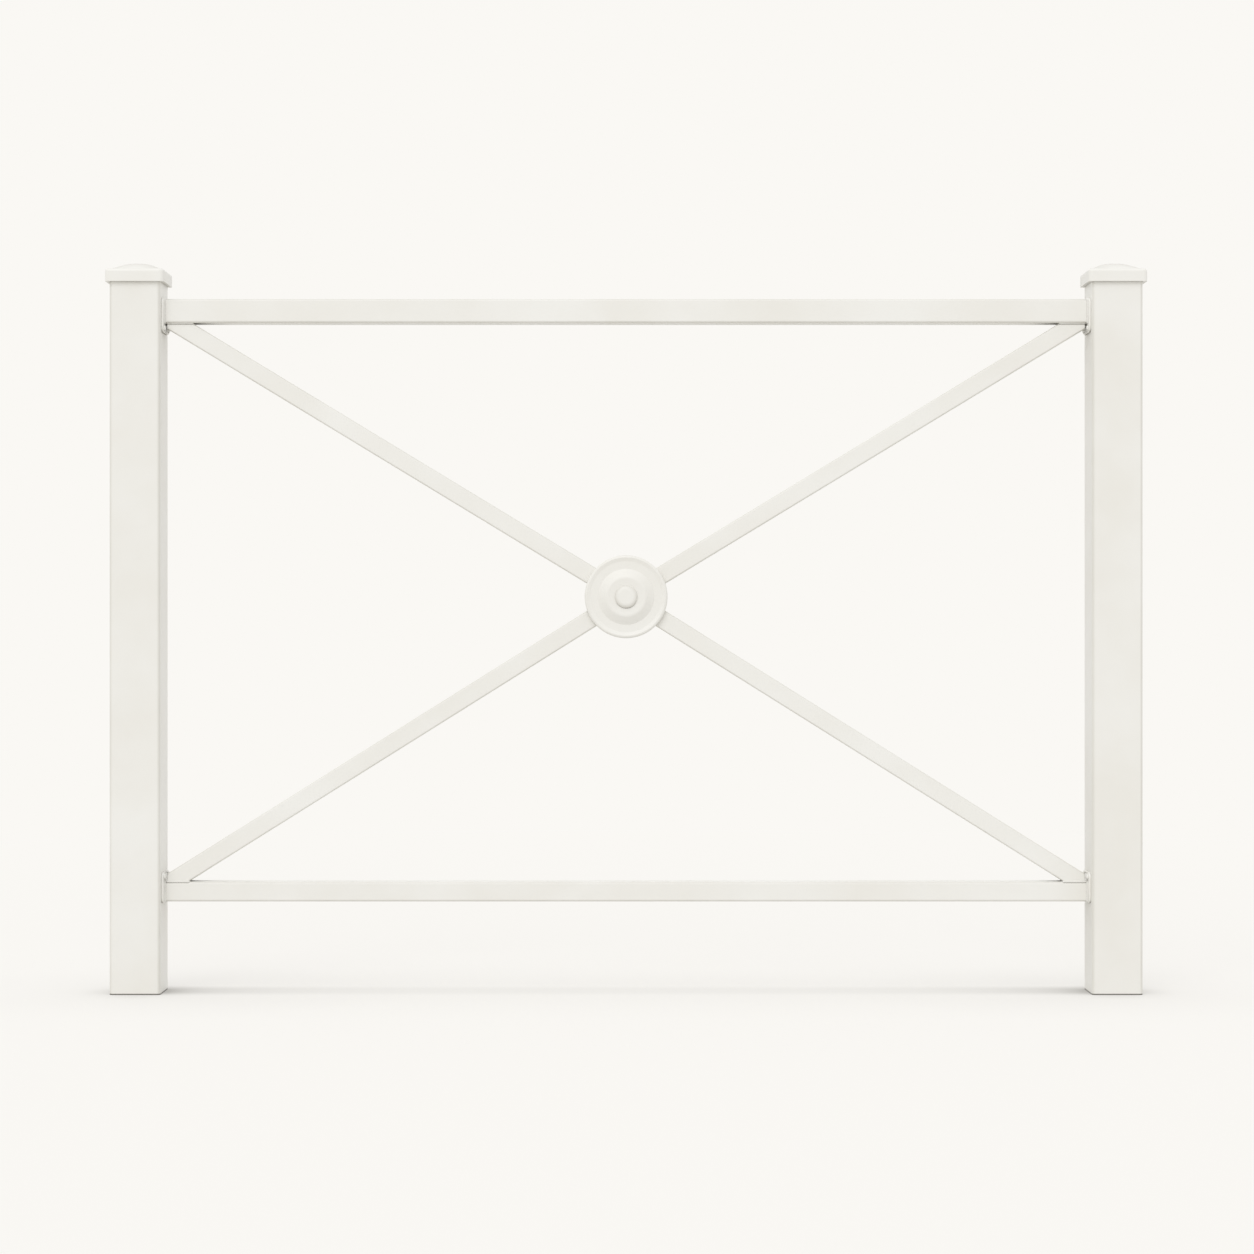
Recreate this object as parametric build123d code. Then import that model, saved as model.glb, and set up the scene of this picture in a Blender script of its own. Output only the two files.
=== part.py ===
from build123d import *
import os

# Street barrier: two capped square posts, a top and a bottom rail, and four
# tube braces that run from the corners to a turned rosette near the middle.
# X runs along the barrier, the front faces -Y, +Z is up, and the origin is
# the centre of the left post's foot. All lengths are in millimetres.

# Overall sizes
overall_width = 1420.0
post_size = 70.0
post_wall = 3.0
post_corner_radius = 5.0
post_height = 988.0
post_spacing = overall_width - post_size
middle_x = post_spacing / 2
inner_face_x = post_size / 2

# Post caps
cap_size = 81.0
cap_corner_radius = 6.0
cap_drop = 8.0
cap_skirt_height = 13.5
cap_edge_radius = 4.5
cap_dome_half_width = 35.0
cap_dome_rise = 10.0
cap_dome_fullness = 2.5
cap_dome_points = 15
cap_pocket_clearance = 0.5
cap_hollow_size = 58.0
cap_hollow_depth = 8.0
cap_hollow_radius = 4.0

# Rails: the top one hangs below the post's top, the bottom one clears the ground
top_rail_size = 33.0
top_rail_drop = 29.8
bottom_rail_size = 27.5
bottom_rail_underside = 126.3
rail_wall = 2.5
rail_corner_radius = 3.0
smallest_inner_radius = 0.8
top_rail_top = post_height - top_rail_drop
top_rail_underside = top_rail_top - top_rail_size
bottom_rail_top = bottom_rail_underside + bottom_rail_size

# End plates between the rails and the posts
plate_thickness = 3.0
plate_width = 52.0
plate_corner_radius = 8.0
plate_edge_radius = 0.8
plate_outer_margin = 1.5
plate_inner_margin = 13.5
rail_end_x = inner_face_x + plate_thickness
rail_length = post_spacing - 2 * rail_end_x

# Braces: at its cut end each one's middle line has passed the rail's face by its aim
brace_size = 25.0
brace_wall = 2.0
brace_corner_radius = 2.5
brace_end_gap = 3.5
upper_brace_aim = 6.3
lower_brace_aim = 3.7
brace_end_x = middle_x - rail_end_x - brace_end_gap

# The crossing lies a little above the middle of the space between the rails
crossing_rise = 7.65
crossing_height = (top_rail_underside + bottom_rail_top) / 2 + crossing_rise

# Ring at the crossing, which the braces end on
hub_radius = 45.0
hub_wall = 7.0

# Rosette: radii from the centre and heights above its seat on the braces
rosette_radius = 57.2
rim_height = 9.0
rim_edge_radius = 3.4
dish_outer_radius = 49.0
dish_height = 7.8
flank_foot_radius = 38.6
flank_top_radius = 28.6
flank_top_height = 13.4
crown_radius = 25.0
crown_height = 14.2
button_seat_height = 13.6
button_seat_margin = 0.3

# Through bolt with a broad button head, and its barrel nut
button_radius = 15.5
button_thickness = 4.6
button_side_height = 0.8
button_flat_radius = 8.5
shank_radius = 5.0
barrel_radius = 7.0
barrel_clearance = 0.2
shank_clearance = 0.1
shank_length = 38.0
barrel_length = 40.0


def tube_profile(size, wall, corner_radius):
    outside = RectangleRounded(size, size, corner_radius)
    inside_size = size - 2 * wall
    inner_radius = max(corner_radius - wall, smallest_inner_radius)
    inside = RectangleRounded(inside_size, inside_size, inner_radius)
    return outside - inside


def upright(x):
    profile = tube_profile(post_size, post_wall, post_corner_radius)
    return Pos(x, 0, 0) * extrude(profile, post_height)


def rail(size, underside):
    profile = tube_profile(size, rail_wall, rail_corner_radius)
    across = Plane(origin=(rail_end_x, 0, underside + size / 2), x_dir=(0, 1, 0), z_dir=(1, 0, 0))
    return extrude(across * profile, rail_length)


def dome_height(x, y):
    along = 1 - (abs(x) / cap_dome_half_width) ** cap_dome_fullness
    across = 1 - (abs(y) / cap_dome_half_width) ** cap_dome_fullness
    return cap_dome_rise * along * across


def cap_dome(base_height):
    # A cushion-shaped skin over the square top, thickened downwards into the cap
    step = 2 * cap_dome_half_width / (cap_dome_points - 1)
    places = [-cap_dome_half_width + step * i for i in range(cap_dome_points)]
    grid = [[Vector(x, y, base_height + dome_height(x, y)) for y in places] for x in places]
    skin = Face.make_surface_from_array_of_points(grid)
    return extrude(skin, amount=cap_dome_rise, dir=(0, 0, -1))


def post_cap(x):
    # Heights here are measured from the top of the post, where the cap seats
    block_height = cap_skirt_height + cap_edge_radius
    outline = RectangleRounded(cap_size, cap_size, cap_corner_radius)
    block = Pos(0, 0, -cap_drop) * extrude(outline, block_height)
    top_edges = block.faces().sort_by(Axis.Z)[-1].edges()
    block = fillet(top_edges, cap_edge_radius)
    block = block + cap_dome(block_height - cap_drop)
    pocket_size = post_size + 2 * cap_pocket_clearance
    pocket_radius = post_corner_radius + cap_pocket_clearance
    pocket_outline = RectangleRounded(pocket_size, pocket_size, pocket_radius)
    pocket = Pos(0, 0, -cap_drop) * extrude(pocket_outline, cap_drop)
    hollow_outline = RectangleRounded(cap_hollow_size, cap_hollow_size, cap_hollow_radius)
    hollow = extrude(hollow_outline, cap_hollow_depth)
    return Pos(x, 0, post_height) * (block - pocket - hollow)


def end_plate(x, bottom, top):
    outline = RectangleRounded(plate_width, top - bottom, plate_corner_radius)
    against = Plane(origin=(x, 0, (bottom + top) / 2), x_dir=(0, 1, 0), z_dir=(1, 0, 0))
    plate = extrude(against * outline, plate_thickness)
    sides = plate.faces().sort_by(Axis.X)
    return fillet(sides[0].edges() + sides[-1].edges(), plate_edge_radius)


def crossing_cylinder(radius, length):
    # Centred on the crossing, with its axis from front to back
    return Pos(middle_x, 0, crossing_height) * Rot(90, 0, 0) * Cylinder(radius, length)


def brace(side, rise):
    # side is -1 for left and 1 for right, rise is 1 for upper and -1 for lower
    if rise > 0:
        aimed_height = top_rail_underside + upper_brace_aim
    else:
        aimed_height = bottom_rail_top - lower_brace_aim
    climb = aimed_height - crossing_height
    outward = Vector(side * brace_end_x, 0, climb)
    section = Plane(origin=(middle_x, 0, crossing_height), x_dir=(0, 1, 0), z_dir=outward)
    profile = tube_profile(brace_size, brace_wall, brace_corner_radius)
    bar = extrude(section * profile, outward.length + brace_size)
    height = top_rail_underside - bottom_rail_top
    window = Box(2 * brace_end_x, 2 * brace_size, height)
    window = Pos(middle_x, 0, bottom_rail_top + height / 2) * window
    bar = bar & window
    return bar - crossing_cylinder(hub_radius, 2 * brace_size)


def crossing_ring():
    outer = crossing_cylinder(hub_radius, brace_size)
    return outer - crossing_cylinder(hub_radius - hub_wall, 2 * brace_size)


def facing(solid, front):
    # Turns a solid built upwards on its seat to stand out from the braces
    turn = 90 if front else -90
    seat_y = -brace_size / 2 if front else brace_size / 2
    return Pos(middle_x, seat_y, crossing_height) * Rot(turn, 0, 0) * solid


def rosette(front):
    bore = barrel_radius + barrel_clearance
    rim_inset = rosette_radius - rim_edge_radius
    rim_side_height = rim_height - rim_edge_radius
    land_radius = button_radius + button_seat_margin
    flank_run = flank_foot_radius - flank_top_radius
    flank_slope = (flank_top_height - dish_height) / flank_run
    curves = [
        Line((bore, 0), (rosette_radius, 0)),
        Line((rosette_radius, 0), (rosette_radius, rim_side_height)),
        CenterArc((rim_inset, rim_side_height), rim_edge_radius, 0, 90),
        Line((rim_inset, rim_height), (dish_outer_radius, dish_height)),
        Line((dish_outer_radius, dish_height), (flank_foot_radius, dish_height)),
        Line((flank_foot_radius, dish_height), (flank_top_radius, flank_top_height)),
        Spline(
            (flank_top_radius, flank_top_height),
            (crown_radius, crown_height),
            tangents=[(-1, flank_slope), (-1, 0)],
        ),
        Line((crown_radius, crown_height), (land_radius, button_seat_height)),
        Line((land_radius, button_seat_height), (bore, button_seat_height)),
        Line((bore, button_seat_height), (bore, 0)),
    ]
    turned = revolve(Plane.XZ * make_face(curves), Axis.Z)
    return facing(turned, front)


def button_head():
    shoulder_height = button_seat_height + button_side_height
    top_height = button_seat_height + button_thickness
    curves = [
        Line((0, button_seat_height), (button_radius, button_seat_height)),
        Line((button_radius, button_seat_height), (button_radius, shoulder_height)),
        EllipticalCenterArc(
            (button_flat_radius, shoulder_height),
            button_radius - button_flat_radius,
            button_thickness - button_side_height,
            arc_size=90,
        ),
        Line((button_flat_radius, top_height), (0, top_height)),
        Line((0, top_height), (0, button_seat_height)),
    ]
    return revolve(Plane.XZ * make_face(curves), Axis.Z)


def rosette_bolt():
    shank = Cylinder(shank_radius, shank_length)
    shank = Pos(0, 0, button_seat_height - shank_length / 2) * shank
    return facing(button_head() + shank, True)


def rosette_nut():
    barrel = Cylinder(barrel_radius, barrel_length)
    barrel = Pos(0, 0, button_seat_height - barrel_length / 2) * barrel
    bore = Cylinder(shank_radius + shank_clearance, barrel_length)
    bore = Pos(0, 0, button_seat_height - barrel_length / 2) * bore
    return facing(button_head() + barrel - bore, False)


def write(shape, name):
    export_step(shape, "parts/" + name + ".step")


os.makedirs("parts", exist_ok=True)

write(upright(0), "left_post")
write(upright(post_spacing), "right_post")
write(post_cap(0), "left_post_cap")
write(post_cap(post_spacing), "right_post_cap")

write(rail(top_rail_size, top_rail_underside), "top_rail")
write(rail(bottom_rail_size, bottom_rail_underside), "bottom_rail")

top_plate_bottom = top_rail_underside - plate_inner_margin
top_plate_top = top_rail_top + plate_outer_margin
bottom_plate_bottom = bottom_rail_underside - plate_outer_margin
bottom_plate_top = bottom_rail_top + plate_inner_margin
left_plate_x = inner_face_x
right_plate_x = post_spacing - rail_end_x
write(end_plate(left_plate_x, top_plate_bottom, top_plate_top), "top_left_end_plate")
write(end_plate(right_plate_x, top_plate_bottom, top_plate_top), "top_right_end_plate")
write(end_plate(left_plate_x, bottom_plate_bottom, bottom_plate_top), "bottom_left_end_plate")
write(end_plate(right_plate_x, bottom_plate_bottom, bottom_plate_top), "bottom_right_end_plate")

write(brace(-1, 1), "upper_left_brace")
write(brace(1, 1), "upper_right_brace")
write(brace(-1, -1), "lower_left_brace")
write(brace(1, -1), "lower_right_brace")

write(crossing_ring(), "crossing_ring")
write(rosette(True), "front_rosette")
write(rosette(False), "back_rosette")
write(rosette_bolt(), "rosette_bolt")
write(rosette_nut(), "rosette_nut")
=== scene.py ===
import math

import bmesh
import bpy
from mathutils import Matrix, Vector


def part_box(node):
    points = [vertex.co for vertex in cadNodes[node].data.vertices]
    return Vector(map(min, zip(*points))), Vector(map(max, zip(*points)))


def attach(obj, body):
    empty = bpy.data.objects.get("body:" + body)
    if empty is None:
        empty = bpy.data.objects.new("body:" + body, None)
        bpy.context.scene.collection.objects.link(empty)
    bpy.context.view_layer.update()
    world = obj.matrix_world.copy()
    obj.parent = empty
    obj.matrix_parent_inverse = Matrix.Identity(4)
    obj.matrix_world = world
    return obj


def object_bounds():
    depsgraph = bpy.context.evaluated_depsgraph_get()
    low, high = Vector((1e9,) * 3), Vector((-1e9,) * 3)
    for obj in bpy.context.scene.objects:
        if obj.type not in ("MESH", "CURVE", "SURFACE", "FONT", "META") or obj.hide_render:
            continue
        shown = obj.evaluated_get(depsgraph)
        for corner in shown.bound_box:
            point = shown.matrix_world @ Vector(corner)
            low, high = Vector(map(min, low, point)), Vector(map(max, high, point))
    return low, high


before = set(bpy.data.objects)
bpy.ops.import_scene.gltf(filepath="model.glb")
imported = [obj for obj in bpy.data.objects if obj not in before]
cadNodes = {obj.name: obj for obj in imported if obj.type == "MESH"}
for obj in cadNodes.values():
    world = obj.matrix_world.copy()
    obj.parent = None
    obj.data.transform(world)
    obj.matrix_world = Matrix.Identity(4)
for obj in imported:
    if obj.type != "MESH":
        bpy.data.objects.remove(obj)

# Lengths in the dictionaries are millimetres, the scene itself is in metres.
# X runs along the barrier, the front faces -Y, Z is up, as in the CAD frame.
mm = 0.001
sameLevel = 0.05 * mm      # vertices this close lie on the same face
coatSamples = 8
bevelSamples = 4
paperSamples = 16
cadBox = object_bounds()
print("barrier: frame loaded,", len(cadNodes), "nodes")


def linearColour(hexText):
    # sRGB hex to the linear colour that shaders expect
    parts = [int(hexText[i:i + 2], 16) / 255 for i in (1, 3, 5)]
    line = [p / 12.92 if p <= 0.04045 else ((p + 0.055) / 1.055) ** 2.4 for p in parts]
    return (*line, 1.0)


def addNode(tree, kind, inputs=None, links=None, **settings):
    node = tree.nodes.new(kind)
    for name, value in settings.items():
        setattr(node, name, value)
    for name, value in (inputs or {}).items():
        node.inputs[name].default_value = value
    for name, source in (links or {}).items():
        tree.links.new(source, node.inputs[name])
    return node


def newMaterial(name):
    material = bpy.data.materials.new(name)
    material.use_nodes = True
    material.node_tree.nodes.clear()
    return material, material.node_tree


# Powder coat: a baked satin skin over steel. It gives a soft, even off-white with a
# fine orange peel, painted shade in corners and under things, a painted shadow line under
# each ledge, and outside corners where the coat is thinner and smoother, painted greyer as shade.
coatLook = {
    "colour": "#efeeea",
    "driftColour": "#eae8e2",      # the slow drift in a sprayed coat
    "driftSize": 160.0,
    "driftRange": (0.35, 0.68),
    "shadeTintColour": "#b9b4a9",       # painted shade in inside corners, also used on the castings' tops
    "cornerShadeReach": 9.0,
    "cornerShadeRange": (0.10, 0.42),     # how open a place is where a tint is full, and ends
    "cornerShadeStrength": 0.10,
    "underColour": "#757062",      # painted shade in the sharp corners of the undersides
    "underReach": 36.0,
    "underRange": (0.30, 0.68),
    "underShade": 1.0,
    "ledgeColour": "#7d786d",      # painted shadow: the dark line right under a cap, rim or head
    "ledgeReach": 1.6,
    "ledgeRange": (0.50, 0.72),
    "ledgeShade": 0.60,
    "downFacing": (-0.40, -0.85),  # the normal's height where an underside starts, and is full
    "upright": (-0.35, -0.05),
    "upFacing": (0.80, 0.97),
    "topShade": 0.0,
    "footShadowColour": "#4f4a41",       # painted contact shadow where the post meets the ground
    "footHeight": 1.5,
    "edgeWearShadeColour": "#dedcd5",     # thinner coat on outside corners, with painted shade greying the rounded edges
    "edgeWearShadeRange": (0.40, 0.62),   # the edge tint is strongest where the drift is high
    "edgeWearShadeLeast": 0.65,
    "rubbedRoughness": 0.32,
    "roughness": 0.42,
    "roughnessSpread": 0.04,
    "peelSize": 2.6,               # real peel is about 1 mm, drawn coarser to show
    "peelRange": (0.3, 0.7),
    "peelDepth": 0.020,
}

# The end plates, weld beads and screws are small and hold the whole coat at their edges,
# so they get no painted edge shade or ledge shadow, and less painted corner shade
plateLook = {
    **coatLook,
    "edgeWearShadeColour": coatLook["colour"],
    "ledgeShade": 0.0,
    "cornerShadeStrength": 0.05,
}

# The castings carry the same coat over a grainier skin, with painted shade on their tops
castLook = {
    **coatLook,
    "edgeReach": 2.0,
    "edgeBend": (0.995, 0.90),     # likeness of the normals where an edge starts, and is full
    "edgeClear": (0.60, 0.90),
    "edgeWearShadeColour": "#e6e4dd",
    "roughness": 0.47,
    "peelSize": 1.7,
    "peelDepth": 0.034,
    "topShade": 0.30,
    "underShade": 0.30,
}


def tintWhere(tree, base, mask, hexText):
    # base is another node's colour, or a hex colour of its own
    values = {7: linearColour(hexText)}
    links = {"Factor": mask}
    if isinstance(base, str):
        values[6] = linearColour(base)
    else:
        links[6] = base
    return addNode(tree, "ShaderNodeMix", values, links, data_type="RGBA").outputs[2]


def closeness(tree, reach, openRange, strength, upward=False):
    # strength where other surfaces shut this point in, on its own side or from above,
    # fading to nothing in the clear
    shut, clear = openRange
    links = {}
    if upward:
        links["Normal"] = addNode(tree, "ShaderNodeCombineXYZ", {"Z": 1.0}).outputs["Vector"]
    openness = addNode(
        tree, "ShaderNodeAmbientOcclusion", {"Distance": reach * mm}, links,
        samples=coatSamples,
    ).outputs["AO"]
    return addNode(
        tree, "ShaderNodeMapRange",
        {"From Min": shut, "From Max": clear, "To Min": strength, "To Max": 0.0},
        {"Value": openness},
    ).outputs["Result"]


def tubeCorners(tree):
    # 1 on the rounded corners of the tubes, whose normals lie between the front or back
    # and the sides, and 0 on every flat face
    normal = addNode(tree, "ShaderNodeNewGeometry").outputs["Normal"]
    forward = addNode(tree, "ShaderNodeSeparateXYZ", links={"Vector": normal}).outputs["Y"]
    square = addNode(
        tree, "ShaderNodeMath", links={0: forward, 1: forward}, operation="MULTIPLY"
    ).outputs[0]
    rest = addNode(
        tree, "ShaderNodeMath", {0: 1.0}, {1: square}, operation="SUBTRACT"
    ).outputs[0]
    product = addNode(
        tree, "ShaderNodeMath", links={0: square, 1: rest}, operation="MULTIPLY"
    ).outputs[0]
    return addNode(
        tree, "ShaderNodeMath", {1: 4.0}, {0: product}, operation="MULTIPLY", use_clamp=True
    ).outputs[0]


def castEdges(tree):
    # 1 on the castings' outside edges, where the rounded normal leaves the flat one;
    # inside corners are left out because other surfaces shut them in
    reach = castLook["edgeReach"]
    start, full = castLook["edgeBend"]
    flat = addNode(tree, "ShaderNodeNewGeometry").outputs["Normal"]
    rounded = addNode(
        tree, "ShaderNodeBevel", {"Radius": reach * mm}, samples=bevelSamples
    ).outputs["Normal"]
    likeness = addNode(
        tree, "ShaderNodeVectorMath", links={0: flat, 1: rounded}, operation="DOT_PRODUCT"
    ).outputs["Value"]
    bend = addNode(
        tree, "ShaderNodeMapRange",
        {"From Min": start, "From Max": full}, {"Value": likeness},
    ).outputs["Result"]
    inside = closeness(tree, 2 * reach, castLook["edgeClear"], 1.0)
    return addNode(
        tree, "ShaderNodeMath", links={0: bend, 1: inside}, operation="SUBTRACT", use_clamp=True
    ).outputs[0]


def coatColour(tree, look, place, drift, edgeWearAndShade):
    # the coat's own drift, its thinner corners with painted edge shade, then painted shade, each
    # over the last
    low, high = look["driftRange"]
    driftMask = addNode(
        tree, "ShaderNodeMapRange", {"From Min": low, "From Max": high}, {"Value": drift}
    ).outputs["Result"]
    colour = tintWhere(tree, look["colour"], driftMask, look["driftColour"])
    # outside edges: the coat thinner and smoother, plus painted shade greying the rounded edges
    low, high = look["edgeWearShadeRange"]
    patches = addNode(
        tree, "ShaderNodeMapRange",
        {"From Min": low, "From Max": high, "To Min": look["edgeWearShadeLeast"]}, {"Value": drift},
    ).outputs["Result"]
    thinCoatAndShade = addNode(
        tree, "ShaderNodeMath", links={0: edgeWearAndShade, 1: patches}, operation="MULTIPLY"
    ).outputs[0]
    colour = tintWhere(tree, colour, thinCoatAndShade, look["edgeWearShadeColour"])
    # painted shade in inside corners
    insideCornerShade = closeness(tree, look["cornerShadeReach"], look["cornerShadeRange"], look["cornerShadeStrength"])
    colour = tintWhere(tree, colour, insideCornerShade, look["shadeTintColour"])

    normal = addNode(tree, "ShaderNodeNewGeometry").outputs["Normal"]
    upward = addNode(tree, "ShaderNodeSeparateXYZ", links={"Vector": normal}).outputs["Z"]
    # painted shade in the sharp corners of the undersides
    low, high = look["downFacing"]
    underside = addNode(
        tree, "ShaderNodeMapRange", {"From Min": low, "From Max": high}, {"Value": upward}
    ).outputs["Result"]
    corner = closeness(tree, look["underReach"], look["underRange"], look["underShade"])
    undersideShade = addNode(
        tree, "ShaderNodeMath", links={0: corner, 1: underside}, operation="MULTIPLY"
    ).outputs[0]
    colour = tintWhere(tree, colour, undersideShade, look["underColour"])
    # painted shadow: a fine dark line under each ledge, on upright faces
    low, high = look["upright"]
    upright = addNode(
        tree, "ShaderNodeMapRange", {"From Min": low, "From Max": high}, {"Value": upward}
    ).outputs["Result"]
    ledge = closeness(
        tree, look["ledgeReach"], look["ledgeRange"], look["ledgeShade"], upward=True
    )
    line = addNode(
        tree, "ShaderNodeMath", links={0: ledge, 1: upright}, operation="MULTIPLY"
    ).outputs[0]
    colour = tintWhere(tree, colour, line, look["ledgeColour"])
    # painted shade darkening the faces that point up
    if look["topShade"] > 0:
        low, high = look["upFacing"]
        topFacingShade = addNode(
            tree, "ShaderNodeMapRange",
            {"From Min": low, "From Max": high, "To Max": look["topShade"]}, {"Value": upward},
        ).outputs["Result"]
        colour = tintWhere(tree, colour, topFacingShade, look["shadeTintColour"])
    # painted contact shadow along the foot, where the post meets the ground
    height = addNode(tree, "ShaderNodeSeparateXYZ", links={"Vector": place}).outputs["Z"]
    footHeight = look["footHeight"] * mm
    foot = addNode(
        tree, "ShaderNodeMapRange",
        {"From Min": 0.5 * footHeight, "From Max": 1.5 * footHeight,
         "To Min": 1.0, "To Max": 0.0},
        {"Value": height},
    ).outputs["Result"]
    return tintWhere(tree, colour, foot, look["footShadowColour"])


def coatedMetal(name, look, findEdges):
    material, tree = newMaterial(name)
    place = addNode(tree, "ShaderNodeTexCoord").outputs["Object"]
    drift = addNode(
        tree, "ShaderNodeTexNoise",
        {"Scale": 1 / (look["driftSize"] * mm), "Detail": 3.0, "Roughness": 0.55},
        {"Vector": place},
    ).outputs["Fac"]
    peel = addNode(
        tree, "ShaderNodeTexNoise",
        {"Scale": 1 / (look["peelSize"] * mm), "Detail": 2.0, "Roughness": 0.5},
        {"Vector": place},
    ).outputs["Fac"]
    edgeWearAndShade = findEdges(tree)
    colour = coatColour(tree, look, place, drift, edgeWearAndShade)
    relief = addNode(
        tree, "ShaderNodeBump",
        {"Strength": 1.0, "Distance": look["peelDepth"] * mm}, {"Height": peel},
    ).outputs["Normal"]
    low, high = look["peelRange"]
    satin = addNode(
        tree, "ShaderNodeMapRange",
        {"From Min": low, "From Max": high,
         "To Min": look["roughness"] - look["roughnessSpread"],
         "To Max": look["roughness"] + look["roughnessSpread"]},
        {"Value": peel},
    ).outputs["Result"]
    gloss = addNode(
        tree, "ShaderNodeMix", {3: look["rubbedRoughness"]}, {"Factor": edgeWearAndShade, 2: satin},
        data_type="FLOAT",
    ).outputs[0]
    surface = addNode(
        tree, "ShaderNodeBsdfPrincipled", {"IOR": 1.5},
        {"Base Color": colour, "Roughness": gloss, "Normal": relief},
    ).outputs["BSDF"]
    addNode(tree, "ShaderNodeOutputMaterial", links={"Surface": surface})
    return material


coatedTube = coatedMetal("powder-coated steel tube", coatLook, tubeCorners)
coatedPlate = coatedMetal("powder-coated steel plate", plateLook, tubeCorners)
coatedCasting = coatedMetal("powder-coated casting", castLook, castEdges)
castNodes = ["left_post_cap", "right_post_cap", "front_rosette", "back_rosette"]
for nodeName, cadObject in cadNodes.items():
    finish = coatedTube
    if nodeName in castNodes:
        finish = coatedCasting
    elif nodeName.endswith("end_plate"):
        finish = coatedPlate
    cadObject.data.materials.clear()
    cadObject.data.materials.append(finish)
print("barrier: finishes made")


def newTree(name, sockets):
    # sockets: name and kind of each input after the geometry
    tree = bpy.data.node_groups.new(name, "GeometryNodeTree")
    tree.interface.new_socket("Geometry", in_out="INPUT", socket_type="NodeSocketGeometry")
    for socketName, kind in sockets:
        tree.interface.new_socket(socketName, in_out="INPUT", socket_type=kind)
    tree.interface.new_socket("Geometry", in_out="OUTPUT", socket_type="NodeSocketGeometry")
    return tree


def finishTree(tree, geometry, material):
    real = addNode(
        tree, "GeometryNodeRealizeInstances", links={"Geometry": geometry}
    ).outputs["Geometry"]
    smooth = addNode(
        tree, "GeometryNodeSetShadeSmooth", links={"Geometry": real}
    ).outputs["Geometry"]
    painted = addNode(
        tree, "GeometryNodeSetMaterial", {"Material": material}, {"Geometry": smooth}
    ).outputs["Geometry"]
    addNode(tree, "NodeGroupOutput", links={"Geometry": painted})


def applyTree(pieceName, baseMesh, tree, values):
    # runs the tree on the base mesh and keeps the result as a plain mesh
    base = bpy.data.objects.new(pieceName + "_base", baseMesh)
    bpy.context.scene.collection.objects.link(base)
    modifier = base.modifiers.new(tree.name, "NODES")
    modifier.node_group = tree
    for item in tree.interface.items_tree:
        if item.item_type == "SOCKET" and item.in_out == "INPUT" and item.name in values:
            modifier[item.identifier] = values[item.name]
    base.update_tag()
    graph = bpy.context.evaluated_depsgraph_get()
    mesh = bpy.data.meshes.new_from_object(base.evaluated_get(graph))
    mesh.name = pieceName
    bpy.data.objects.remove(base)
    piece = bpy.data.objects.new(pieceName, mesh)
    bpy.context.scene.collection.objects.link(piece)
    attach(piece, "root")
    return piece


# Weld beads: overlapping ripples along the rails' ends, the braces' feet and the gaps at
# the lower braces' ends, under the same coat
weldLook = {
    "railRadius": 2.0,
    "braceRadius": 1.7,
    "pitch": 1.7,
    "ripple": 0.85,            # a ripple's half length beside its radius
    "unevenness": 0.10,
    "segments": 8,
    "rings": 5,
    "railCorner": 3.0,         # the path's own corner radius round a rail
    "cornerSteps": 4,
    "seed": 7,
}


def weldTree():
    tree = newTree("weld bead", [
        ("Radius", "NodeSocketFloat"),
        ("Pitch", "NodeSocketFloat"),
        ("Ripple", "NodeSocketFloat"),
        ("Unevenness", "NodeSocketFloat"),
        ("Seed", "NodeSocketInt"),
    ])
    given = addNode(tree, "NodeGroupInput").outputs
    path = addNode(
        tree, "GeometryNodeMeshToCurve", links={"Mesh": given["Geometry"]}
    ).outputs["Curve"]
    stations = addNode(
        tree, "GeometryNodeResampleCurve", links={"Curve": path, "Length": given["Pitch"]},
        mode="LENGTH",
    ).outputs["Curve"]
    tangent = addNode(tree, "GeometryNodeInputTangent").outputs["Tangent"]
    turn = addNode(
        tree, "FunctionNodeAlignRotationToVector", links={"Vector": tangent}, axis="Z"
    ).outputs["Rotation"]
    ball = addNode(
        tree, "GeometryNodeMeshUVSphere",
        {"Segments": weldLook["segments"], "Rings": weldLook["rings"]},
        {"Radius": given["Radius"]},
    ).outputs["Mesh"]
    flatness = addNode(
        tree, "ShaderNodeCombineXYZ", {"X": 1.0, "Y": 1.0}, {"Z": given["Ripple"]}
    ).outputs["Vector"]
    ripple = addNode(
        tree, "GeometryNodeTransform", links={"Geometry": ball, "Scale": flatness}
    ).outputs["Geometry"]
    smallest = addNode(
        tree, "ShaderNodeMath", {0: 1.0}, {1: given["Unevenness"]}, operation="SUBTRACT"
    ).outputs[0]
    scatter = addNode(
        tree, "FunctionNodeRandomValue", {3: 1.0}, {2: smallest, 8: given["Seed"]},
        data_type="FLOAT",
    ).outputs[1]
    laid = addNode(
        tree, "GeometryNodeInstanceOnPoints",
        links={"Points": stations, "Instance": ripple, "Rotation": turn, "Scale": scatter},
    ).outputs["Instances"]
    finishTree(tree, laid, coatedPlate)
    return tree


def pathMesh(name, paths):
    # each path is a list of points and whether it closes on itself
    mesh = bpy.data.meshes.new(name)
    points, edges = [], []
    for path, closed in paths:
        first = len(points)
        points += path
        edges += [(first + i, first + i + 1) for i in range(len(path) - 1)]
        if closed:
            edges.append((len(points) - 1, first))
    mesh.from_pydata(points, edges, [])
    return mesh


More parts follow.
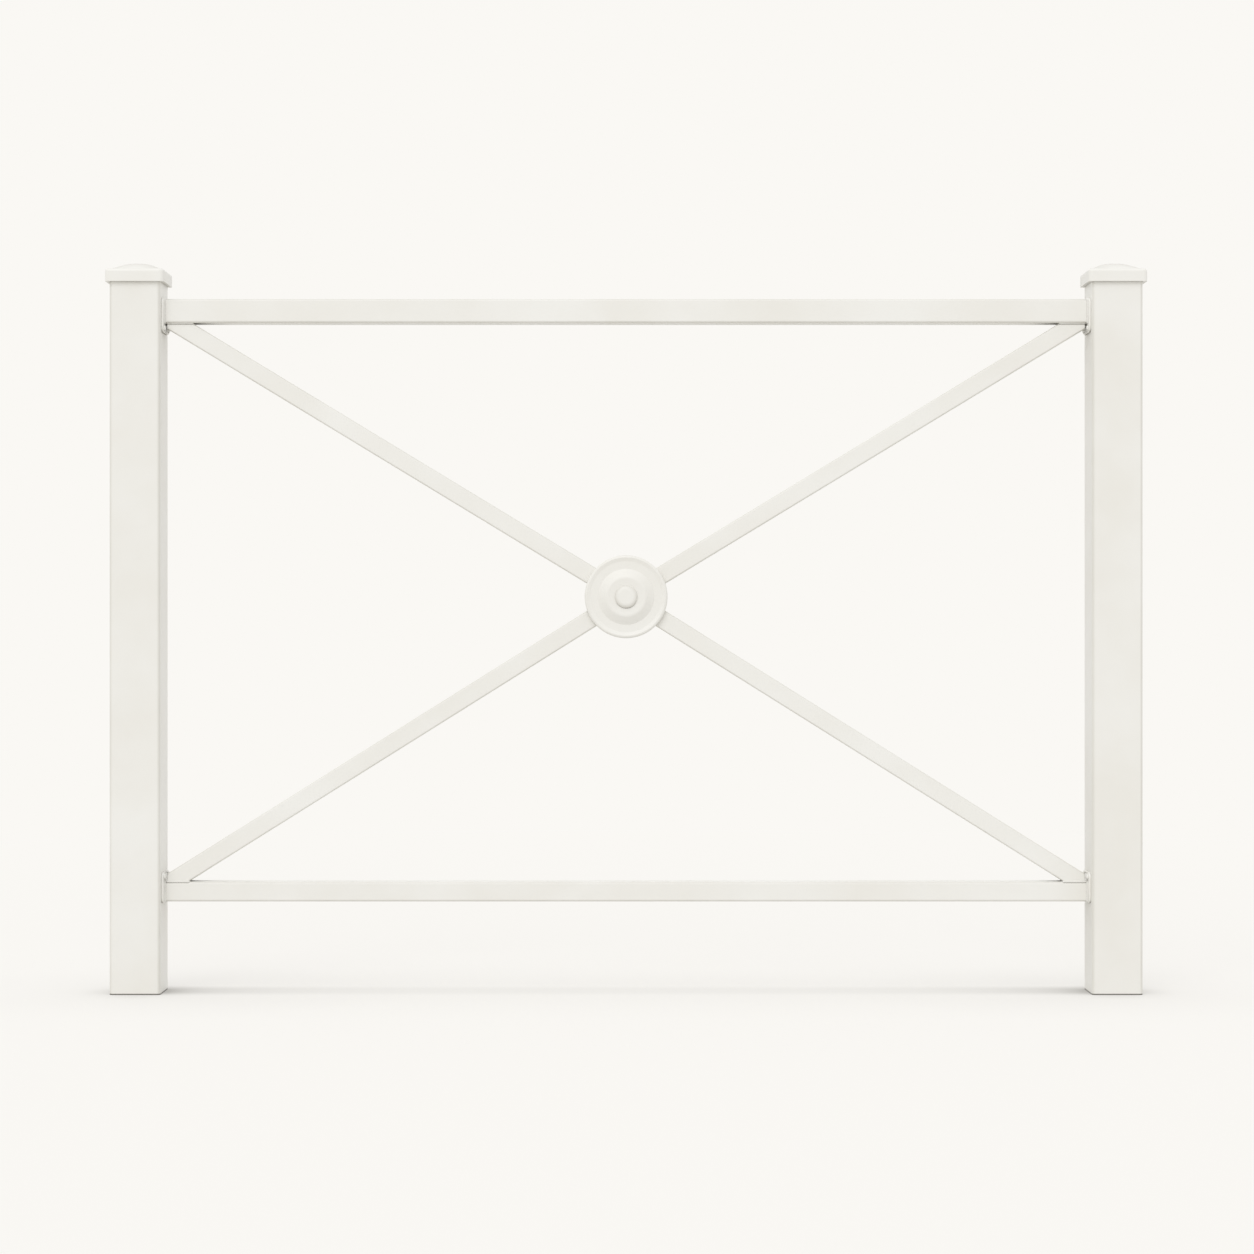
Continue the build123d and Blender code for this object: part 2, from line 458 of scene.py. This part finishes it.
def railEndPath(railName, side):
    # round the rail's outline where it meets its end plate
    radius, steps = weldLook["railCorner"] * mm, weldLook["cornerSteps"]
    low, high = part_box(railName)
    x = low.x if side < 0 else high.x
    points = []
    corners = [(high.y, high.z), (low.y, high.z), (low.y, low.z), (high.y, low.z)]
    for turn, (y, z) in enumerate(corners):
        centreY = y - math.copysign(radius, y)
        centreZ = z - radius if turn < 2 else z + radius
        for step in range(steps + 1):
            angle = math.radians(90 * (turn + step / steps))
            pathY = centreY + radius * math.cos(angle)
            pathZ = centreZ + radius * math.sin(angle)
            points.append((x, pathY, pathZ))
    return points, True


def braceFootPath(braceName, upper):
    # along both sides and across the toe of the brace's cut face on the rail
    low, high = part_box(braceName)
    faceZ = high.z if upper else low.z
    vertices = cadNodes[braceName].data.vertices
    foot = [v.co.x for v in vertices if abs(v.co.z - faceZ) < sameLevel]
    middleX = (cadBox[0].x + cadBox[1].x) / 2
    ends = sorted(foot, key=lambda x: abs(x - middleX))
    toe, cutEnd = ends[0], ends[-1]
    return [
        (cutEnd, low.y, faceZ), (toe, low.y, faceZ), (toe, high.y, faceZ), (cutEnd, high.y, faceZ),
    ], False


def braceEndPaths(side):
    # up the front and the back of the gap between a lower brace's cut end and its plate
    low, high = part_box("lower_" + side + "_brace")
    plateLow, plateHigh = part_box("bottom_" + side + "_end_plate")
    if side == "left":
        endX, plateX = low.x, plateHigh.x
    else:
        endX, plateX = high.x, plateLow.x
    vertices = cadNodes["lower_" + side + "_brace"].data.vertices
    endTop = max(v.co.z for v in vertices if abs(v.co.x - endX) < sameLevel)
    radius = weldLook["braceRadius"] * mm
    x, bottom, top = (endX + plateX) / 2, low.z + radius / 2, endTop - radius / 2
    return [([(x, y, bottom), (x, y, top)], False) for y in (low.y, high.y)]


def makeWelds():
    tree = weldTree()
    shared = {
        "Pitch": weldLook["pitch"] * mm, "Ripple": weldLook["ripple"],
        "Unevenness": weldLook["unevenness"], "Seed": weldLook["seed"],
    }
    railPaths = [
        railEndPath(rail, side) for rail in ("top_rail", "bottom_rail") for side in (-1, 1)
    ]
    applyTree(
        "rail_weld_beads", pathMesh("rail ends", railPaths), tree,
        {**shared, "Radius": weldLook["railRadius"] * mm},
    )
    bracePaths = [
        braceFootPath(level + "_" + side + "_brace", level == "upper")
        for level in ("upper", "lower") for side in ("left", "right")
    ]
    bracePaths += braceEndPaths("left") + braceEndPaths("right")
    applyTree(
        "brace_weld_beads", pathMesh("brace feet and ends", bracePaths), tree,
        {**shared, "Radius": weldLook["braceRadius"] * mm},
    )


makeWelds()
print("barrier: weld beads laid")


# Screws: low round heads with a hexagon socket, two on each end plate in the margin
# beside the brace, painted with the rest
screwLook = {
    "headRadius": 3.8,
    "headHeight": 2.2,
    "socketRadius": 1.45,
    "socketDepth": 1.3,
    "fromMiddle": 18.0,        # to each side of the plate's middle line
    "fromEdge": 6.0,           # in from the plate's inner edge
    "sides": 24,
    # shares of the head's radius and height, from the seat to the crown
    "profile": [(1.0, 0.0), (1.0, 0.28), (0.97, 0.50), (0.87, 0.76), (0.70, 0.93), (0.52, 1.0)],
    "seed": 3,
}


def screwHeadMesh():
    # rings from the seat to the crown, then down into the hexagon socket
    radius, height = screwLook["headRadius"] * mm, screwLook["headHeight"] * mm
    socket, depth = screwLook["socketRadius"] * mm, screwLook["socketDepth"] * mm
    sides = screwLook["sides"]
    work = bmesh.new()

    def ring(ringRadius, z, hexagon=False):
        line = []
        for i in range(sides):
            angle = 2 * math.pi * i / sides
            reach = ringRadius
            if hexagon:
                offset = (angle + math.pi / 6) % (math.pi / 3) - math.pi / 6
                reach = ringRadius * math.cos(math.pi / 6) / math.cos(offset)
            line.append(work.verts.new((reach * math.cos(angle), reach * math.sin(angle), z)))
        return line

    rings = [ring(radius * r, height * z) for r, z in screwLook["profile"]]
    rings.append(ring(socket, height, True))
    rings.append(ring(socket, height - depth, True))
    for lower, upper in zip(rings, rings[1:]):
        for i in range(sides):
            j = (i + 1) % sides
            work.faces.new((lower[i], lower[j], upper[j], upper[i]))
    work.faces.new(reversed(rings[0]))
    work.faces.new(rings[-1])
    bmesh.ops.recalc_face_normals(work, faces=work.faces)
    mesh = bpy.data.meshes.new("screw head")
    work.to_mesh(mesh)
    work.free()
    return mesh


def screwTree():
    tree = newTree("plate screws", [
        ("Head", "NodeSocketObject"),
        ("Seed", "NodeSocketInt"),
    ])
    given = addNode(tree, "NodeGroupInput").outputs
    head = addNode(
        tree, "GeometryNodeObjectInfo", links={"Object": given["Head"]}
    ).outputs["Geometry"]
    outward = addNode(
        tree, "GeometryNodeInputNamedAttribute", {"Name": "outward"}, data_type="FLOAT_VECTOR"
    ).outputs["Attribute"]
    facing = addNode(
        tree, "FunctionNodeAlignRotationToVector", links={"Vector": outward}, axis="Z"
    ).outputs["Rotation"]
    turn = addNode(
        tree, "FunctionNodeRandomValue", {3: math.pi / 3}, {8: given["Seed"]},
        data_type="FLOAT",
    ).outputs[1]
    spin = addNode(
        tree, "FunctionNodeAxisAngleToRotation", {"Axis": (0, 0, 1)}, {"Angle": turn}
    ).outputs["Rotation"]
    turned = addNode(
        tree, "FunctionNodeRotateRotation", links={"Rotation": facing, "Rotate By": spin},
        rotation_space="LOCAL",
    ).outputs["Rotation"]
    placed = addNode(
        tree, "GeometryNodeInstanceOnPoints",
        links={"Points": given["Geometry"], "Instance": head, "Rotation": turned},
    ).outputs["Instances"]
    finishTree(tree, placed, coatedPlate)
    return tree


def makeScrews():
    points, outward = [], []
    for level in ("top", "bottom"):
        for side in (-1, 1):
            plate = level + ("_left" if side < 0 else "_right") + "_end_plate"
            low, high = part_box(plate)
            x = high.x if side < 0 else low.x
            inset = screwLook["fromEdge"] * mm
            z = low.z + inset if level == "top" else high.z - inset
            for hand in (-1, 1):
                points.append((x, hand * screwLook["fromMiddle"] * mm, z))
                outward.append((-side, 0.0, 0.0))
    base = bpy.data.meshes.new("screw places")
    base.from_pydata(points, [], [])
    attribute = base.attributes.new("outward", "FLOAT_VECTOR", "POINT")
    for item, vector in zip(attribute.data, outward):
        item.vector = vector
    head = bpy.data.objects.new("screw head", screwHeadMesh())
    bpy.context.scene.collection.objects.link(head)
    applyTree("plate_screws", base, screwTree(), {"Head": head, "Seed": screwLook["seed"]})
    bpy.data.objects.remove(head)


makeScrews()
print("barrier: screws set")


# Floor: seamless paper, one plain tone up to the horizon. Other rays than the camera's
# see it darker, so undersides keep their shade. Near the object the camera sees it partly
# lit, with part of the object's cast shadow, painted shade round the feet and under the
# barrier, a painted shadow band under the rail, and far off it fades into the background.
floorLook = {
    "size": 60000.0,
    "seenColour": "#f3f1ed",
    "lightingColour": "#dad8d3",
    "shadeColour": "#8f8c86",
    "footReach": 50.0,         # painted shade right beside the feet
    "footShade": 0.22,
    "wideReach": 300.0,        # painted soft shade under the whole barrier
    "wideShade": 0.34,
    "railLine": 14.0,          # the painted shadow band's middle line lies this far back
    "railCore": 10.0,          # half its width where it is full, and where it ends
    "railEdge": 62.0,
    "railInset": 30.0,         # it runs this far in under each foot as it fades
    "railShade": 0.08,
    "railFootShade": 0.27,     # it is deeper beside the feet and fades along the rail
    "railFootReach": 110.0,
    "plainShare": 0.62,        # how much of the paper's own tone shows through the shadow
    "fadeStart": 1600.0,
    "fadeEnd": 3200.0,
}
backgroundColour = "#faf8f4"


def pickRays(tree):
    # 1 for the rays that show the background: camera, glossy and transmission
    path = addNode(tree, "ShaderNodeLightPath").outputs
    cameraOrGloss = addNode(
        tree, "ShaderNodeMath",
        links={0: path["Is Camera Ray"], 1: path["Is Glossy Ray"]}, operation="MAXIMUM",
    ).outputs[0]
    return addNode(
        tree, "ShaderNodeMath",
        links={0: cameraOrGloss, 1: path["Is Transmission Ray"]}, operation="MAXIMUM",
    ).outputs[0]


def floorShade(tree, reach, strength):
    # how much the object closes in on the paper within this reach
    openness = addNode(
        tree, "ShaderNodeAmbientOcclusion", {"Distance": reach * mm}, samples=paperSamples
    ).outputs["AO"]
    return addNode(
        tree, "ShaderNodeMapRange",
        {"From Min": 1.0, "From Max": 0.0, "To Min": 0.0, "To Max": strength},
        {"Value": openness},
    ).outputs["Result"]


def railShadow(tree, place):
    # a narrow soft band on the paper between the feet, drawn by place and not cast
    axes = addNode(tree, "ShaderNodeSeparateXYZ", links={"Vector": place}).outputs
    offset = addNode(
        tree, "ShaderNodeMath", {1: floorLook["railLine"] * mm}, {0: axes["Y"]},
        operation="SUBTRACT",
    ).outputs[0]
    across = addNode(tree, "ShaderNodeMath", links={0: offset}, operation="ABSOLUTE").outputs[0]
    band = addNode(
        tree, "ShaderNodeMapRange",
        {"From Min": floorLook["railCore"] * mm, "From Max": floorLook["railEdge"] * mm,
         "To Min": 1.0, "To Max": 0.0},
        {"Value": across}, interpolation_type="SMOOTHSTEP",
    ).outputs["Result"]
    along = addNode(tree, "ShaderNodeMath", links={0: axes["X"]}, operation="ABSOLUTE").outputs[0]
    footFace = (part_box("right_post")[0].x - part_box("left_post")[1].x) / 2
    pastFoot = addNode(
        tree, "ShaderNodeMath", {1: footFace}, {0: along}, operation="SUBTRACT"
    ).outputs[0]
    scaled = addNode(
        tree, "ShaderNodeMath", {1: 1 / (floorLook["railFootReach"] * mm)}, {0: pastFoot},
        operation="MULTIPLY",
    ).outputs[0]
    nearFoot = addNode(
        tree, "ShaderNodeMath", links={0: scaled}, operation="EXPONENT"
    ).outputs[0]
    depth = addNode(
        tree, "ShaderNodeMath", {1: floorLook["railFootShade"], 2: floorLook["railShade"]},
        {0: nearFoot}, operation="MULTIPLY_ADD",
    ).outputs[0]
    between = addNode(
        tree, "ShaderNodeMapRange",
        {"From Max": floorLook["railInset"] * mm, "To Min": 1.0, "To Max": 0.0},
        {"Value": pastFoot},
    ).outputs["Result"]
    inside = addNode(
        tree, "ShaderNodeMath", links={0: band, 1: between}, operation="MULTIPLY"
    ).outputs[0]
    return addNode(
        tree, "ShaderNodeMath", links={0: depth, 1: inside}, operation="MULTIPLY"
    ).outputs[0]


def floorMaterial():
    material, tree = newMaterial("seamless paper")
    rays = pickRays(tree)
    place = addNode(tree, "ShaderNodeTexCoord").outputs["Object"]
    closed = addNode(
        tree, "ShaderNodeMath",
        links={
            0: floorShade(tree, floorLook["footReach"], floorLook["footShade"]),
            1: floorShade(tree, floorLook["wideReach"], floorLook["wideShade"]),
        },
        operation="ADD",
    ).outputs[0]
    shade = addNode(
        tree, "ShaderNodeMath", links={0: closed, 1: railShadow(tree, place)},
        operation="ADD", use_clamp=True,
    ).outputs[0]
    paper = tintWhere(tree, floorLook["seenColour"], shade, floorLook["shadeColour"])
    plainPaper = tintWhere(tree, backgroundColour, shade, floorLook["shadeColour"])
    tone = addNode(
        tree, "ShaderNodeMix", {6: linearColour(floorLook["lightingColour"])},
        {"Factor": rays, 7: paper}, data_type="RGBA",
    ).outputs[2]
    lit = addNode(tree, "ShaderNodeBsdfDiffuse", links={"Color": tone}).outputs["BSDF"]
    plain = addNode(
        tree, "ShaderNodeEmission", {"Strength": 1.0}, {"Color": plainPaper}
    ).outputs[0]
    distance = addNode(
        tree, "ShaderNodeVectorMath", links={0: place}, operation="LENGTH"
    ).outputs["Value"]
    fade = addNode(
        tree, "ShaderNodeMapRange",
        {"From Min": floorLook["fadeStart"] * mm, "From Max": floorLook["fadeEnd"] * mm,
         "To Min": floorLook["plainShare"], "To Max": 1.0},
        {"Value": distance}, interpolation_type="SMOOTHSTEP",
    ).outputs["Result"]
    plainness = addNode(
        tree, "ShaderNodeMath", links={0: fade, 1: rays}, operation="MULTIPLY"
    ).outputs[0]
    mixed = addNode(
        tree, "ShaderNodeMixShader", links={0: plainness, 1: lit, 2: plain}
    ).outputs[0]
    addNode(tree, "ShaderNodeOutputMaterial", links={"Surface": mixed})
    return material


def makeFloor():
    # the floor's own origin lies under the barrier's middle, so its fade is centred there
    half = floorLook["size"] * mm / 2
    middle = (cadBox[0] + cadBox[1]) / 2
    corners = [(-half, -half, 0), (half, -half, 0), (half, half, 0), (-half, half, 0)]
    mesh = bpy.data.meshes.new("floor")
    mesh.from_pydata(corners, [], [(0, 1, 2, 3)])
    mesh.materials.append(floorMaterial())
    floor = bpy.data.objects.new("floor", mesh)
    floor.location = (middle.x, middle.y, 0.0)
    bpy.context.scene.collection.objects.link(floor)


# Light: an even pale dome, and one very wide soft key from above the camera, a little
# to the left, which models the round edges and lets the caps shade the posts
lightLook = {
    "domeLevel": 0.90,
    "keyStrength": 0.765,
    "keyAngle": 42.0,                    # degrees across, as wide as a big softbox
    "keyFrom": (-0.22, -0.74, 0.63),
}


def makeDome():
    world = bpy.data.worlds.new("pale dome")
    bpy.context.scene.world = world
    world.use_nodes = True
    tree = world.node_tree
    tree.nodes.clear()
    level = lightLook["domeLevel"]
    lit = addNode(
        tree, "ShaderNodeBackground", {"Color": (level, level, level, 1.0)}
    ).outputs[0]
    seen = addNode(
        tree, "ShaderNodeBackground", {"Color": linearColour(backgroundColour)}
    ).outputs[0]
    mixed = addNode(
        tree, "ShaderNodeMixShader", links={0: pickRays(tree), 1: lit, 2: seen}
    ).outputs[0]
    addNode(tree, "ShaderNodeOutputWorld", links={"Surface": mixed})


def makeKey():
    lamp = bpy.data.lights.new("wide key", "SUN")
    lamp.energy = lightLook["keyStrength"]
    lamp.angle = math.radians(lightLook["keyAngle"])
    key = bpy.data.objects.new("wide key", lamp)
    key.rotation_euler = (-Vector(lightLook["keyFrom"])).to_track_quat("-Z", "Y").to_euler()
    bpy.context.scene.collection.objects.link(key)


# Camera: level and square on. The photograph is 1254 pixels square, and its vanishing
# point and the width over the posts give the place and the lens.
view = {
    "pixels": 1254.0,
    "vanishingX": 626.1,
    "vanishingY": 628.0,
    "postsLeftPixel": 109.0,
    "postsRightPixel": 1143.0,
    "footPixel": 995.0,
    "distanceToPosts": 4000.0,
    "sensor": 36.0,
    "clipEnd": 200.0,          # metres, past the floor's far edge
}


def makeCamera():
    left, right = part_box("left_post"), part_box("right_post")
    width = right[1].x - left[0].x
    front = left[0].y
    metresPerPixel = width / (view["postsRightPixel"] - view["postsLeftPixel"])
    distance = view["distanceToPosts"] * mm
    lens = bpy.data.cameras.new("camera")
    lens.sensor_width = view["sensor"]
    lens.lens = view["sensor"] * distance / metresPerPixel / view["pixels"]
    lens.shift_x = (view["pixels"] / 2 - view["vanishingX"]) / view["pixels"]
    lens.shift_y = (view["vanishingY"] - view["pixels"] / 2) / view["pixels"]
    lens.clip_end = view["clipEnd"]
    camera = bpy.data.objects.new("camera", lens)
    height = (view["footPixel"] - view["vanishingY"]) * metresPerPixel
    camera.location = ((left[0].x + right[1].x) / 2, front - distance, height)
    camera.rotation_euler = (math.radians(90), 0, 0)
    bpy.context.scene.collection.objects.link(camera)
    bpy.context.scene.camera = camera


makeFloor()
makeDome()
makeKey()
makeCamera()
bpy.context.scene.view_settings.view_transform = "Standard"
print("barrier: floor, light and camera set")
